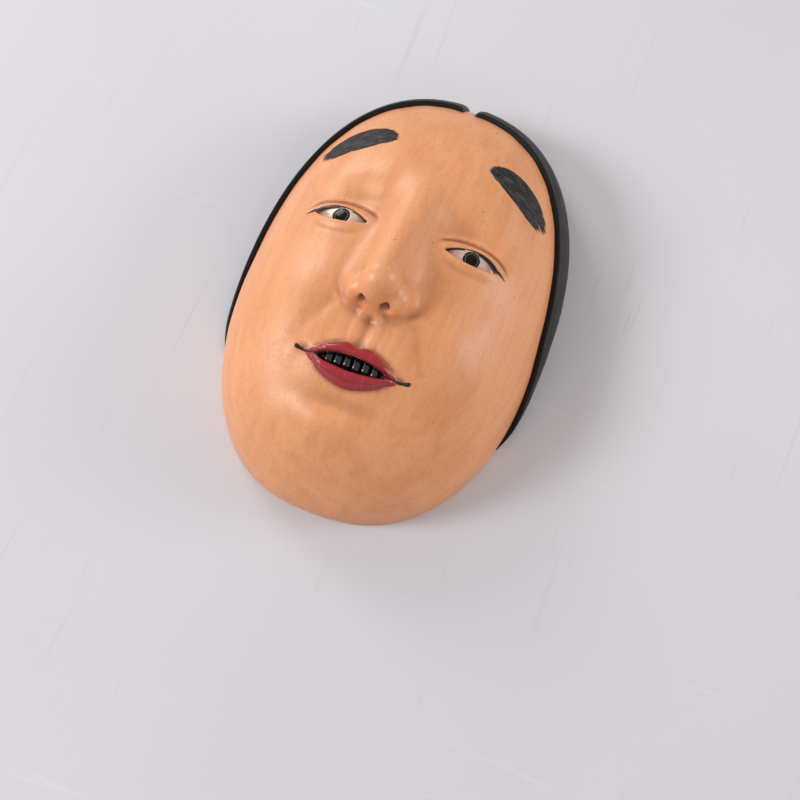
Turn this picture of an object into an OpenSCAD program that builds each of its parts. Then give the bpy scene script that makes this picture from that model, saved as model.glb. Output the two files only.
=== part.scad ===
// Miniature noh mask of the young-woman type: a hollow-backed boxwood shell with
// inlaid eyes and teeth, raised black hair, lacquered lips and a cord bar behind.
// Millimetres. The mask lies on its back rim: +Z out of the face, +Y towards the
// forehead, +X towards the viewer's right. Origin at the centre of its base.

/* [Mask] */
// Overall length, chin to top of the hair
mask_length = 46; // [42:0.5:50]
// Overall width over the hair
mask_width = 31.5; // [28:0.5:34]
// Overall depth, back rim to tip of the nose
mask_depth = 17.5; // [16.5:0.25:20]
// Width of the back rim, which is the thickness of the shell at its foot
rim_width = 3; // [2:0.25:3.5]
// Thickness of the shell behind the cheeks and forehead
front_wall = 3.6; // [3:0.2:4.5]

/* [Hair] */
// How far the hair stands proud of the wood
hair_relief = 0.6; // [0.4:0.1:0.9]
// Width of the bare parting at the top
parting_gap = 1.2; // [0.8:0.1:2]

/* [Face] */
// Height of the nose tip above the dome of the face
nose_height = 4.3; // [3.5:0.1:5]
// Distance between the centres of the two eyes
eye_spacing = 13.4; // [12:0.2:15]
// Width of each eye opening
eye_length = 5.4; // [4.5:0.1:6]
// Width of the lips
mouth_width = 9; // [7:0.2:11]
// Number of teeth that show
tooth_count = 6; // [4:1:8]

/* [Cord bar] */
// Radius of the turned bar across the back
bar_radius = 1.5; // [1.2:0.1:2]
// How far each end of the bar is let into the rim
bar_socket = 1.2; // [0.8:0.1:1.6]

/* [Hidden] */
$fn = 48;

// Colours
boxwood = "#E0A56B";
ink = "#1E1A19";
bone = "#E9DCC6";
horn = "#0D0B0B";
vermilion = "#B3202F";

// The wooden dome. It is a loft of arches across X: each row stands at one
// latitude, from -90 at the chin to 90 at the crown, and each column at one
// arch angle, from 0 on the right rim to 180 on the left rim.
dome_half_length = (mask_length - hair_relief) / 2;
dome_half_width = mask_width / 2 - hair_relief;
dome_height = mask_depth - nose_height;
dome_centre_y = -hair_relief / 2;
widest_y = -1.5;
dome_power = 2.35;
outer_rows = 60;
outer_columns = 40;
inner_columns = 20;

// Places of the features down the face, as shares of the length from the top
function down(share) = mask_length * (0.5 - share);
hairline_y = down(0.07);
brow_y = down(0.25);
eye_y = down(0.455);
nose_tip_y = down(0.60);
nose_base_y = down(0.645);
mouth_y = down(0.765);
chin_y = down(0.895);
eye_x = eye_spacing / 2;

// Inlays and coats
pocket_depth = 1.6;
eye_height = 1.45;
iris_radius = 0.85;
fit_gap = 0.02;
slot_width = mouth_width * 0.76;
slot_height = 1.5;
lining = 0.3;
tooth_depth = 0.95;
tooth_drop = -0.35;
coat = 0.15;
eye_ball = 4.4;
eye_crown = -0.25;
iris_proud = 0.06;
iris_seat = 0.4;
brow_inner = [4.8, brow_y + 1.4];
brow_outer = [11.6, brow_y - 2.4];
brow_across = [0.49, 0.87];
brow_half = 1.35;
brow_rise = 0.8;
liner_rise = eye_height / 2 + 0.2;
liner_half = 0.2;
liner_tail = 0.7;
upper_lip = 1.15;
lower_lip = 1.25;
lip_gap = 0.12;
lip_dip = 0.45;
corner_length = 2.1;
corner_lift = 0.35;
corner_half = 0.16;
tooth_share = 0.78;

// Hair, as a band round the crown and down each side. Its front edge is an oval
// whose widest level is hair_edge_y, and the band narrows to a point at the jaw.
hair_rows = 34;
hair_columns = 9;
jaw_latitude = -27;
crown_latitude = 88;
tail_tip = 0.5;
tail_angle = 13;
taper_span = 30;
hair_foot = 0.45;
hair_edge_half_width = 14.9;
hair_edge_y = -6;

// Small helpers
function bell(d, spread) = exp(-(d * d) / (spread * spread));
function blob(x, y, cx, cy, sx, sy) = bell(x - cx, sx) * bell(y - cy, sy);
function ramp(t) = let (u = min(1, max(0, t))) u * u * (3 - 2 * u);
function mix(a, b, t) = a + (b - a) * t;

// Share of the full size that a superellipse keeps at t, from -1 to 1
function bow(t, power) = pow(max(0, 1 - pow(min(1, abs(t)), power)), 1 / power);

// Position along the mask as -1 to 1, measured from its widest level
function along(y, grow) =
    let (d = y - widest_y)
    d > 0 ? d / (dome_half_length + grow + dome_centre_y - widest_y)
          : d / (dome_half_length + grow - dome_centre_y + widest_y);
function half_width(y, grow = 0) = (dome_half_width + grow) * bow(along(y, grow), dome_power);
function arch_height(y, grow = 0) = (dome_height + grow) * bow(along(y, grow), dome_power);
function latitude_y(lat, grow = 0) = dome_centre_y + (dome_half_length + grow) * sin(lat);

// Height of the plain dome above the rim plane
function dome_z(x, y, grow = 0) =
    arch_height(y, grow) * bow(x / max(0.001, half_width(y, grow)), dome_power);

// Nose: a ridge that rises from its root to the tip and drops away at its base
nose_root_y = eye_y + 4.2;
nose_root_share = 0.16;
nose_drop = 2.2;
ridge_spread = [1.5, 2];
nostril_radius = 0.62;
nostril_x = 1.25;
nostril_y = nose_base_y + 0.35;
function nose_fall(y) = ramp((y - nose_base_y + 0.8) / nose_drop);
function nose(x, y) =
    let (rise = ramp((nose_root_y - y) / (nose_root_y - nose_tip_y)))
    nose_height * mix(nose_root_share, 1, rise) * nose_fall(y)
    * ramp((nose_root_y + 3 - y) / 5) * bell(x, mix(ridge_spread[0], ridge_spread[1], rise));

// Swellings and hollows of the face, in pairs either side of the middle:
// height, x and y of the centre, and spread along x and y
swellings = [
    [0.5, 0, brow_y, 9, 6],                     // forehead
    [-1.1, eye_x - 1.2, eye_y + 2.6, 3.4, 2.2], // hollow under the brow
    [0.6, eye_x, eye_y, 2.8, 1.8],              // eyeball
    [1.2, 2.3, nose_tip_y - 0.6, 1.1, 1.5],     // wing of the nose
    [0.8, 8, eye_y - 9.5, 4.5, 5.5],            // cheek
    [0.8, 0, mouth_y, 5, 3.2],                  // muzzle
    [0.5, 0, mouth_y + 1.4, 3.4, 0.9],          // upper lip
    [0.6, 0, mouth_y - 1.4, 3, 1],              // lower lip
    [-0.4, 0, mouth_y - 3.4, 4, 1],             // groove under the lip
    [0.9, 0, chin_y, 4, 2.4]                    // chin
];
function total(list) = list * [for (item = list) 1];
function relief(x, y) =
    nose(x, y) + total([for (s = swellings) s[0] * blob(abs(x), y, s[1], s[2], s[3], s[4])]);
function face_z(x, y) = dome_z(x, y) + relief(x, y);

// A point of the dome surface at a latitude and an arch angle, grown outwards
function on_dome(lat, arch, grow) =
    let (
        y = latitude_y(lat, grow),
        x = half_width(y, grow) * bow(sin(arch), dome_power) * sign(cos(arch))
    )
    [x, y, arch_height(y, grow) * sin(arch)];
function on_face(lat, arch) =
    let (p = on_dome(lat, arch, 0))
    p + [0, 0, relief(p.x, p.y) * ramp(p.z / 4)];

// Front edge of the hair across X at level y, and the arch angle of a share of the band
function hairline_x(y) = max(
    parting_gap / 2,
    hair_edge_half_width * bow((y - hair_edge_y) / (hairline_y - hair_edge_y), dome_power)
);
function hair_arch(lat, share) =
    let (
        y = latitude_y(lat),
        low = asin(min(0.9, hair_foot / arch_height(y))),
        high = asin(bow(hairline_x(y) / half_width(y), dome_power)),
        taper = ramp((lat - jaw_latitude) / taper_span)
    )
    low + share * mix(tail_tip, max(high - low, tail_angle), taper);

// Hollow behind the face, as the same loft drawn smaller
inner_half_length = dome_half_length - rim_width;
inner_half_width = dome_half_width - rim_width;
inner_height = dome_height - front_wall;
bar_y = 1;
bar_z = 0.5 + bar_radius;
bar_length = 2 * (inner_half_width * bow(bar_z / inner_height, dome_power) + bar_socket);
function on_hollow(lat, arch) =
    let (p = on_dome(lat, arch, 0))
    [
        p.x * inner_half_width / dome_half_width,
        dome_centre_y + (p.y - dome_centre_y) * inner_half_length / dome_half_length,
        p.z * inner_height / dome_height
    ];

// Faces between rows of a grid whose points start at index first
function grid_faces(first, rows, columns, flip = false) = [
    for (r = [0 : rows - 2], c = [0 : columns - 2], half = [0, 1])
        let (
            a = first + r * columns + c,
            b = a + 1,
            d = a + columns,
            e = d + 1,
            face = half == 0 ? [a, b, e] : [a, e, d]
        )
        flip ? [face[2], face[1], face[0]] : face
];

// A closed skin between an outer grid of points and an inner one of the same size
module skin(outer, inner) {
    rows = len(outer);
    columns = len(outer[0]);
    count = rows * columns;
    rim = concat(
        [for (c = [0 : columns - 1]) c],
        [for (r = [1 : rows - 1]) r * columns + columns - 1],
        [for (c = [columns - 2 : -1 : 0]) (rows - 1) * columns + c],
        [for (r = [rows - 2 : -1 : 1]) r * columns]
    );
    polyhedron(
        points = concat([for (row = outer) each row], [for (row = inner) each row]),
        faces = concat(
            grid_faces(0, rows, columns, true),
            grid_faces(count, rows, columns),
            [
                for (i = [0 : len(rim) - 1])
                    let (a = rim[i], b = rim[(i + 1) % len(rim)])
                    each [[a, b, b + count], [a, b + count, a + count]]
            ]
        )
    );
}

// A thin coat on the face, over a grid of [x, y] places
module coat_on_face(places) {
    skin(
        [for (row = places) [for (p = row) [p.x, p.y, face_z(p.x, p.y) + coat]]],
        [for (row = places) [for (p = row) [p.x, p.y, face_z(p.x, p.y)]]]
    );
}

// A strip of places that follows a centre line, with a half width at each step
function strip(centre, across, half, steps, columns) = [
    for (i = [0 : steps])
        let (t = i / steps)
        [for (j = [0 : columns]) centre(t) + across(t) * half(t) * (2 * j / columns - 1)]
];

// Right side, then its mirror image, for what comes in pairs
module on_side(side) {
    if (side == "right") children();
    else mirror([1, 0, 0]) children();
}

// Hollow shell of the mask before its pockets are cut
module shell_blank() {
    latitudes = [for (i = [1 : outer_rows - 1]) -90 + 180 * i / outer_rows];
    rows = len(latitudes);
    outer = [
        for (lat = latitudes, c = [0 : outer_columns]) on_face(lat, 180 * c / outer_columns)
    ];
    inner = [
        for (lat = latitudes, c = [0 : inner_columns]) on_hollow(lat, 180 * c / inner_columns)
    ];
    oc = outer_columns + 1;
    ic = inner_columns + 1;
    first_inner = rows * oc;
    chin_outer = first_inner + rows * ic;
    crown_outer = chin_outer + 1;
    chin_inner = chin_outer + 2;
    crown_inner = chin_outer + 3;
    last = rows - 1;
    polyhedron(
        points = concat(
            outer,
            inner,
            [
                [0, latitude_y(-90), 0],
                [0, latitude_y(90), 0],
                on_hollow(-90, 90),
                on_hollow(90, 90)
            ]
        ),
        faces = concat(
            grid_faces(0, rows, oc, false),
            grid_faces(first_inner, rows, ic, true),
            [for (c = [0 : oc - 2]) [chin_outer, c + 1, c]],
            [for (c = [0 : oc - 2]) [crown_outer, last * oc + c, last * oc + c + 1]],
            [for (c = [0 : ic - 2]) [chin_inner, first_inner + c, first_inner + c + 1]],
            [
                for (c = [0 : ic - 2])
                    [crown_inner, first_inner + last * ic + c + 1, first_inner + last * ic + c]
            ],
            // rim, right side and then left side
            [
                for (r = [0 : rows - 2])
                    let (a = r * oc, b = a + oc, p = first_inner + r * ic, q = p + ic)
                    each [[a, b, q], [a, q, p]]
            ],
            [
                for (r = [0 : rows - 2])
                    let (a = r * oc + oc - 1, b = a + oc, p = first_inner + r * ic + ic - 1, q = p + ic)
                    each [[b, a, q], [q, a, p]]
            ],
            [
                [chin_outer, 0, chin_inner],
                [chin_inner, 0, first_inner],
                [oc - 1, chin_outer, chin_inner],
                [oc - 1, chin_inner, first_inner + ic - 1],
                [last * oc, crown_outer, crown_inner],
                [last * oc, crown_inner, first_inner + last * ic],
                [crown_outer, last * oc + oc - 1, crown_inner],
                [crown_inner, last * oc + oc - 1, first_inner + last * ic + ic - 1]
            ]
        )
    );
}

// Almond prism of an eye, pointed at both ends, about the local origin
module almond(length, height, depth) {
    r = (length * length / 4 + height * height / 4) / height;
    intersection_for (s = [-1, 1])
        translate([0, s * (r - height / 2), -depth]) cylinder(r = r, h = 2 * depth, $fn = 96);
}

// Local frames that stand square to the face at an eye and at the mouth
eye_turn = atan((face_z(eye_x - 1, eye_y) - face_z(eye_x + 1, eye_y)) / 2);
mouth_turn = atan((face_z(0, mouth_y - 1) - face_z(0, mouth_y + 1)) / 2);
module at_eye() {
    translate([eye_x, eye_y, face_z(eye_x, eye_y)]) rotate([0, eye_turn, 0]) children();
}
module at_mouth() {
    translate([0, mouth_y, face_z(0, mouth_y)]) rotate([-mouth_turn, 0, 0]) children();
}

// Plug of the eye, domed in front
module eye_plug() {
    intersection() {
        almond(eye_length, eye_height, pocket_depth);
        translate([0, 0, eye_crown - eye_ball]) sphere(r = eye_ball, $fn = 96);
    }
}

module mask_body() {
    color(boxwood)
    difference() {
        shell_blank();
        for (side = ["right", "left"])
            on_side(side) at_eye()
                almond(eye_length + 2 * fit_gap, eye_height + 2 * fit_gap, pocket_depth + fit_gap);
        for (x = [-nostril_x, nostril_x])
            translate([x, nostril_y, face_z(x, nostril_y)]) sphere(r = nostril_radius, $fn = 48);
        at_mouth()
            almond(slot_width + 2 * fit_gap, slot_height + 2 * fit_gap, pocket_depth + fit_gap);
        bar(fit_gap);
    }
}

// The bar's cylinder, larger all round by a gap
module bar(gap) {
    translate([0, bar_y, bar_z]) rotate([0, 90, 0])
        cylinder(r = bar_radius + gap, h = bar_length + 2 * gap, center = true);
}

module cord_bar() {
    color(boxwood) bar(0);
}

module hair(side) {
    latitudes = [for (i = [0 : hair_rows]) mix(jaw_latitude, crown_latitude, i / hair_rows)];
    color(ink)
    on_side(side)
    skin(
        [
            for (lat = latitudes)
                [for (c = [0 : hair_columns]) on_dome(lat, hair_arch(lat, c / hair_columns), hair_relief)]
        ],
        [
            for (lat = latitudes)
                [for (c = [0 : hair_columns]) on_dome(lat, hair_arch(lat, c / hair_columns), 0)]
        ]
    );
}

module brow(side) {
    color(ink)
    on_side(side)
    coat_on_face(strip(
        function (t) mix(brow_inner, brow_outer, t) + [0, brow_rise * (1 - pow(2 * t - 1, 2))],
        function (t) brow_across,
        function (t) brow_half * max(0.12, bow(2 * t - 1, 3)),
        14, 5
    ));
}

module eye_white(side) {
    color(bone)
    on_side(side) at_eye()
    difference() {
        eye_plug();
        translate([0, 0, -pocket_depth + iris_seat])
            cylinder(r = iris_radius + fit_gap, h = 2 * pocket_depth);
    }
}

module iris(side) {
    color(horn)
    on_side(side) at_eye()
    intersection() {
        translate([0, 0, -pocket_depth + iris_seat]) cylinder(r = iris_radius, h = 2 * pocket_depth);
        translate([0, 0, eye_crown - eye_ball + iris_proud]) sphere(r = eye_ball, $fn = 96);
        almond(eye_length, eye_height, pocket_depth);
    }
}

module eyeliner(side) {
    reach = eye_length / 2 + 0.5;
    color(ink)
    on_side(side)
    coat_on_face(strip(
        function (t) [
            eye_x - reach + (2 * reach + liner_tail) * t,
            eye_y + liner_rise * (1 - pow(2 * t - 1, 2)) - 0.1 - 0.5 * t * t
        ],
        function (t) [0, 1],
        function (t) liner_half * max(0.2, bow(2 * t - 1, 2)),
        16, 2
    ));
}

// Edges of the mouth: the slot, and the outer borders of the two lips
function slot_edge(x) = 0.06 + slot_height / 2 * bow(x / (slot_width / 2 + 0.1), 1.6);
function upper_border(x) =
    slot_edge(x) + lip_gap + upper_lip * bow(x / (mouth_width / 2), 1.5) - lip_dip * bell(x, 0.9);
function lower_border(x) =
    slot_edge(x) + lip_gap + lower_lip * bow(x / (mouth_width / 2), 1.8);

module lip(direction) {
    steps = 22;
    color(vermilion)
    coat_on_face([
        for (i = [0 : steps])
            let (
                x = direction * mouth_width / 2 * (2 * i / steps - 1),
                edge = slot_edge(x),
                border = direction > 0 ? upper_border(x) : lower_border(x)
            )
            [for (j = [0 : 4]) [x, mouth_y + direction * mix(edge, border, j / 4)]]
    ]);
}

module mouth_lining() {
    color(horn)
    at_mouth() intersection() {
        almond(slot_width, slot_height, pocket_depth);
        translate([-slot_width, -slot_height, -pocket_depth - 1])
            cube([2 * slot_width, 2 * slot_height, 1 + lining]);
    }
}

// Ink lines that carry the slit of the mouth past the lips
module mouth_corners() {
    color(ink)
    for (side = ["right", "left"]) on_side(side)
        coat_on_face(strip(
            function (t) [slot_width / 2 + 0.15 + corner_length * t, mouth_y + 0.1 + corner_lift * t],
            function (t) [0, 1],
            function (t) corner_half,
            6, 2
        ));
}

// Teeth hang side by side from the top of the slot, with domed faces
module teeth() {
    pitch = slot_width * tooth_share / tooth_count;
    color(horn)
    at_mouth() intersection() {
        almond(slot_width - 0.1, slot_height - 0.1, pocket_depth);
        for (i = [0 : tooth_count - 1]) {
            x = pitch * (i - (tooth_count - 1) / 2);
            translate([x, tooth_drop, -pocket_depth + lining])
                linear_extrude(tooth_depth)
                    translate([-pitch * 0.46, 0]) square([pitch * 0.92, slot_height]);
        }
    }
}

mask_body();
hair("left");  // hair_left
hair("right");  // hair_right
brow("left");  // brow_left
brow("right");  // brow_right
eye_white("left");  // eye_white_left
eye_white("right");  // eye_white_right
iris("left");  // iris_left
iris("right");  // iris_right
eyeliner("left");  // eyeliner_left
eyeliner("right");  // eyeliner_right
lip(1);  // lip_upper
lip(-1);  // lip_lower
mouth_lining();
mouth_corners();
teeth();
cord_bar();
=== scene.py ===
"""Looks of a miniature carved noh mask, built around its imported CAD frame.

The wood is carved as a signed distance field on a grid of voxels: a dome with soft
swellings, to which the nose, lids and lips are added and from which the openings and
the hollow back are cut. Ink and lacquer are thin films laid on the carved surface.
Lengths in this script are millimetres in the CAD frame: +Z out of the face, +Y to the
forehead, +X to the viewer's right. Meshes are turned into metres when they are made.
"""

import math

import bpy
import numpy as np
import openvdb
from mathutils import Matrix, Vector


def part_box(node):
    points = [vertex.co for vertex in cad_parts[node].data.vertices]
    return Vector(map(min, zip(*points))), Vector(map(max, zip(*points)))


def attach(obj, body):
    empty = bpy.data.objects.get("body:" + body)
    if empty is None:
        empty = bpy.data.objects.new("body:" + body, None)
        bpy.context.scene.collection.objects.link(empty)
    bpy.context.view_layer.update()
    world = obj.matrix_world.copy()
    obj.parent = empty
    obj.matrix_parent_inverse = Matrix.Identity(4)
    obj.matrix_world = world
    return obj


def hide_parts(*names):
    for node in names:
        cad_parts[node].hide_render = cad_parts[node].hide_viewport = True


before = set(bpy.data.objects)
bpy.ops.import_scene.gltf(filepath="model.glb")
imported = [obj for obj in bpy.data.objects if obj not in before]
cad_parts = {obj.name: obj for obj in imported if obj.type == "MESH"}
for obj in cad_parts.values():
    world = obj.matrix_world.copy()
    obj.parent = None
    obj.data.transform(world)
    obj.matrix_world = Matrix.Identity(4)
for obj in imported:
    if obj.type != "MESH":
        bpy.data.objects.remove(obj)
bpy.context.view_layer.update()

MM = 0.001
SIDES = (("right", 1), ("left", -1))


def node_box(node):
    """Lowest and highest corner of a CAD node, in millimetres."""
    low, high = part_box(node)
    return np.array(low) / MM, np.array(high) / MM


# -------- sizes from the frame
body_low, body_high = node_box("mask_body")
hair_high = node_box("hair_right")[1]
lip_high = node_box("lip_upper")[1]
bar_low, bar_high = node_box("cord_bar")

DOME_HALF_LENGTH = (body_high[1] - body_low[1]) / 2
DOME_HALF_WIDTH = body_high[0]
DOME_CENTRE_Y = (body_high[1] + body_low[1]) / 2
MASK_DEPTH = body_high[2]
HAIR_RELIEF = hair_high[0] - body_high[0]
MASK_LENGTH = 2 * DOME_HALF_LENGTH + HAIR_RELIEF
MOUTH_WIDTH = 2 * lip_high[0]
EYE_X = 6.7
BAR_RADIUS = (bar_high[2] - bar_low[2]) / 2
BAR_Y = (bar_high[1] + bar_low[1]) / 2
BAR_Z = (bar_high[2] + bar_low[2]) / 2
BAR_HALF = bar_high[0]

# Values that part.scad names too
NOSE_HEIGHT = 4.3
DOME_HEIGHT = MASK_DEPTH - NOSE_HEIGHT
WIDEST_Y = -1.5
DOME_POWER = 2.35
RIM_WIDTH = 3.0
FRONT_WALL = 3.6
PARTING_HALF = 0.6
HAIR_EDGE_HALF_WIDTH = 14.9
HAIR_EDGE_Y = -6.0
HAIR_FOOT = 0.45
JAW_LATITUDE = -27.0
CROWN_LATITUDE = 88.0
POCKET_DEPTH = 1.6
EYE_LENGTH = 5.4
EYE_HEIGHT = 1.45
SLOT_WIDTH = MOUTH_WIDTH * 0.76
SLOT_HEIGHT = 1.5
TOOTH_COUNT = 6


def down(share):
    """Level of a feature, from its share of the length below the top of the hair."""
    return MASK_LENGTH * (0.5 - share)


HAIRLINE_Y = down(0.07)
BROW_Y = down(0.25)
EYE_Y = down(0.455)
NOSE_TIP_Y = down(0.60)
NOSE_BASE_Y = down(0.645)
MOUTH_Y = down(0.765)
CHIN_Y = down(0.895)

# -------- grid of voxels
VOXEL = 0.14
MARGIN = 4 * VOXEL
TRIANGLES_MOST = 190000
xs = np.arange(0, DOME_HALF_WIDTH + MARGIN, VOXEL, dtype=np.float32)
ys = np.arange(body_low[1] - MARGIN, body_high[1] + MARGIN, VOXEL, dtype=np.float32)
zs = np.arange(-MARGIN, MASK_DEPTH + MARGIN, VOXEL, dtype=np.float32)


# -------- small maths
def bell(d, spread):
    return np.exp(-((d / spread) ** 2))


def blob(x, y, cx, cy, sx, sy):
    return bell(x - cx, sx) * bell(y - cy, sy)


def ramp(t):
    u = np.clip(t, 0, 1)
    return u * u * (3 - 2 * u)


def mix(a, b, t):
    return a + (b - a) * t


def bow(t, power):
    """Share of the full size that a superellipse keeps at t, from -1 to 1."""
    return np.maximum(0, 1 - np.minimum(1, np.abs(t)) ** power) ** (1 / power)


def smooth_min(a, b, k):
    h = np.clip(0.5 + 0.5 * (b - a) / k, 0, 1)
    return b + (a - b) * h - k * h * (1 - h)


def smooth_max(a, b, k):
    return -smooth_min(-a, -b, k)


# -------- the dome
def along(y, grow=0.0):
    d = y - WIDEST_Y
    up = DOME_HALF_LENGTH + grow + DOME_CENTRE_Y - WIDEST_Y
    under = DOME_HALF_LENGTH + grow - DOME_CENTRE_Y + WIDEST_Y
    return np.where(d > 0, d / up, d / under)


def half_width(y, grow=0.0):
    return (DOME_HALF_WIDTH + grow) * bow(along(y, grow), DOME_POWER)


def arch_height(y, grow=0.0):
    return (DOME_HEIGHT + grow) * bow(along(y, grow), DOME_POWER)


def latitude_y(lat, grow=0.0):
    return DOME_CENTRE_Y + (DOME_HALF_LENGTH + grow) * np.sin(lat)


def dome_z(x, y):
    return arch_height(y) * bow(x / np.maximum(0.001, half_width(y)), DOME_POWER)


def on_dome(lat, arch, grow):
    """Points of the dome at a latitude and an arch angle, grown outwards."""
    y = latitude_y(lat, grow)
    x = half_width(y, grow) * bow(np.sin(arch), DOME_POWER)
    z = arch_height(y, grow) * np.sin(arch)
    return np.stack(np.broadcast_arrays(x, y, z), -1)


def dome_distance(x, y, z):
    """Distance to the dome, from its superellipsoid divided by its gradient."""
    p = DOME_POWER
    d = y - WIDEST_Y
    reach = np.where(
        d > 0,
        DOME_HALF_LENGTH + DOME_CENTRE_Y - WIDEST_Y,
        DOME_HALF_LENGTH - DOME_CENTRE_Y + WIDEST_Y,
    )
    u = np.abs(x) / DOME_HALF_WIDTH
    v = np.abs(d) / reach
    w = np.abs(z) / DOME_HEIGHT
    total = np.maximum(u**p + v**p + w**p, 1e-6)
    slope = np.sqrt(
        (u ** (p - 1) / DOME_HALF_WIDTH) ** 2
        + (v ** (p - 1) / reach) ** 2
        + (w ** (p - 1) / DOME_HEIGHT) ** 2
    )
    size = total ** (1 / p)
    return (size - 1) * size ** (p - 1) / np.maximum(slope, 1e-6)


# Swellings and hollows of the face, in pairs either side of the middle:
# height, x and y of the centre, and spread along x and y
SWELLINGS = (
    (0.5, 0.0, BROW_Y, 9.0, 6.0),  # forehead
    (-1.1, EYE_X - 1.2, EYE_Y + 2.6, 3.4, 2.2),  # hollow under the brow
    (0.6, EYE_X, EYE_Y, 2.8, 1.8),  # eyeball
    (0.8, 8.0, EYE_Y - 9.5, 4.5, 5.5),  # cheek
    (0.8, 0.0, MOUTH_Y, 5.0, 3.2),  # muzzle
    (-0.4, 0.0, MOUTH_Y - 3.4, 4.0, 1.0),  # groove under the lip
    (0.9, 0.0, CHIN_Y, 4.0, 2.4),  # chin
)
RELIEF_FADE = 4.0


def relief(x, y):
    return sum(s[0] * blob(np.abs(x), y, s[1], s[2], s[3], s[4]) for s in SWELLINGS)


def plain_face_z(x, y):
    return float(dome_z(np.float64(x), np.float64(y)) + relief(x, y))


# -------- local frames
class LocalFrame:
    """A frame that stands square to the face: turned about Y at an eye, about X at the mouth."""

    def __init__(self, x, y, turn_y=0.0, turn_x=0.0):
        self.origin = np.array([x, y, plain_face_z(x, y)])
        cy, sy = math.cos(turn_y), math.sin(turn_y)
        cx, sx = math.cos(turn_x), math.sin(turn_x)
        about_y = np.array([[cy, 0, sy], [0, 1, 0], [-sy, 0, cy]])
        about_x = np.array([[1, 0, 0], [0, cx, -sx], [0, sx, cx]])
        self.axes = about_y @ about_x

    def to_local(self, x, y, z):
        d = (x - self.origin[0], y - self.origin[1], z - self.origin[2])
        return [sum(self.axes[k, i] * d[k] for k in range(3)) for i in range(3)]

    def to_world(self, points):
        return np.asarray(points) @ self.axes.T + self.origin


eye_frame = LocalFrame(
    EYE_X,
    EYE_Y,
    turn_y=math.atan((plain_face_z(EYE_X - 1, EYE_Y) - plain_face_z(EYE_X + 1, EYE_Y)) / 2),
)
mouth_frame = LocalFrame(
    0.0,
    MOUTH_Y,
    turn_x=math.atan((plain_face_z(0, MOUTH_Y + 1) - plain_face_z(0, MOUTH_Y - 1)) / 2),
)


def arc_distance(x, y, half_length, rise):
    """Distance above an arc that spans +-half_length and rises by rise in the middle."""
    radius = (half_length**2 + rise**2) / (2 * rise)
    return np.sqrt(x**2 + (y - rise + radius) ** 2) - radius


def arc_height(x, half_length, rise):
    radius = (half_length**2 + rise**2) / (2 * rise)
    return np.sqrt(np.maximum(0, radius**2 - np.asarray(x) ** 2)) - radius + rise


def lens_distance(x, y, half_length, rise, fall):
    """Distance to an almond with a higher and a lower arc."""
    return np.maximum(
        arc_distance(x, y, half_length, rise), arc_distance(x, -y, half_length, fall)
    )


def round_cone(x, y, z, a, b, radius_a, radius_b):
    ab = np.subtract(b, a)
    t = (x - a[0]) * ab[0] + (y - a[1]) * ab[1] + (z - a[2]) * ab[2]
    t = np.clip(t / ab.dot(ab), 0, 1)
    d2 = sum((c - a[i] - ab[i] * t) ** 2 for i, c in enumerate((x, y, z)))
    return np.sqrt(d2) - mix(radius_a, radius_b, t)


def ellipsoid(x, y, z, centre, radii):
    q = [(c - centre[i]) / radii[i] for i, c in enumerate((x, y, z))]
    k0 = np.sqrt(sum(c**2 for c in q))
    k1 = np.sqrt(sum((c / radii[i]) ** 2 for i, c in enumerate(q)))
    return k0 * (k0 - 1) / np.maximum(k1, 1e-6)


# -------- features of the face
EYE_HALF = EYE_LENGTH / 2
LID_RISE = EYE_HEIGHT * 0.56
LID_FALL = EYE_HEIGHT * 0.44


def lids(lx, ly):
    """How far the lids and the folds round them stand proud, in the eye's frame."""
    above = arc_distance(lx, ly, EYE_HALF, LID_RISE)
    below = arc_distance(lx, -ly, EYE_HALF, LID_FALL)
    upper = ramp((ly + 0.35) / 0.5) * ramp((EYE_HALF + 1.2 - np.abs(lx - 0.2)) / 1.3)
    lower = ramp((0.25 - ly) / 0.5) * ramp((EYE_HALF + 0.3 - np.abs(lx)) / 1.4)
    roll = 0.20 * bell(above - 0.45, 0.45) - 0.24 * bell(above - 1.15, 0.22)
    pouch = 0.10 * bell(below - 0.30, 0.30) - 0.08 * bell(below - 1.05, 0.40)
    return upper * roll + lower * pouch


def slot_edge(x):
    return 0.04 + SLOT_HEIGHT / 2 * bow(x / (SLOT_WIDTH / 2 + 0.1), 1.7)


def upper_border(x):
    cupid = 0.34 * bell(x, 0.62) - 0.10 * bell(np.abs(x) - 1.25, 0.7)
    return slot_edge(x) + 0.10 + 1.10 * bow(x / (MOUTH_WIDTH / 2), 1.6) - cupid


def lower_border(x):
    return slot_edge(x) + 0.08 + 1.35 * bow(x / (MOUTH_WIDTH / 2), 1.55)


def lips(lx, ly):
    """How far the lips stand proud, in the mouth's frame."""
    edge = slot_edge(lx)
    up = np.clip((ly - edge * 0.6) / (upper_border(lx) - edge * 0.6), 0, 1)
    low = np.clip((-ly - edge * 0.6) / (lower_border(lx) - edge * 0.6), 0, 1)
    ends = ramp((MOUTH_WIDTH / 2 + 0.1 - np.abs(lx)) / 1.9)
    upper = 0.52 * (1 - np.abs(2 * up - 1) ** 2.4) * (ly > 0)
    lower = 0.62 * (1 - np.abs(2 * low - 1) ** 2.4) * (ly <= 0)
    return ends * (upper + lower)


def fold(x, y, a, b, spread):
    """Bell across a line in plan from a to b, fading at both ends."""
    ab = np.subtract(b, a)
    t = ((x - a[0]) * ab[0] + (y - a[1]) * ab[1]) / ab.dot(ab)
    s = np.clip(t, 0, 1)
    d = np.hypot(x - a[0] - ab[0] * s, y - a[1] - ab[1] * s)
    return bell(d, spread) * ramp((s + 0.15) / 0.3) * ramp((1.15 - s) / 0.3)


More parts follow.
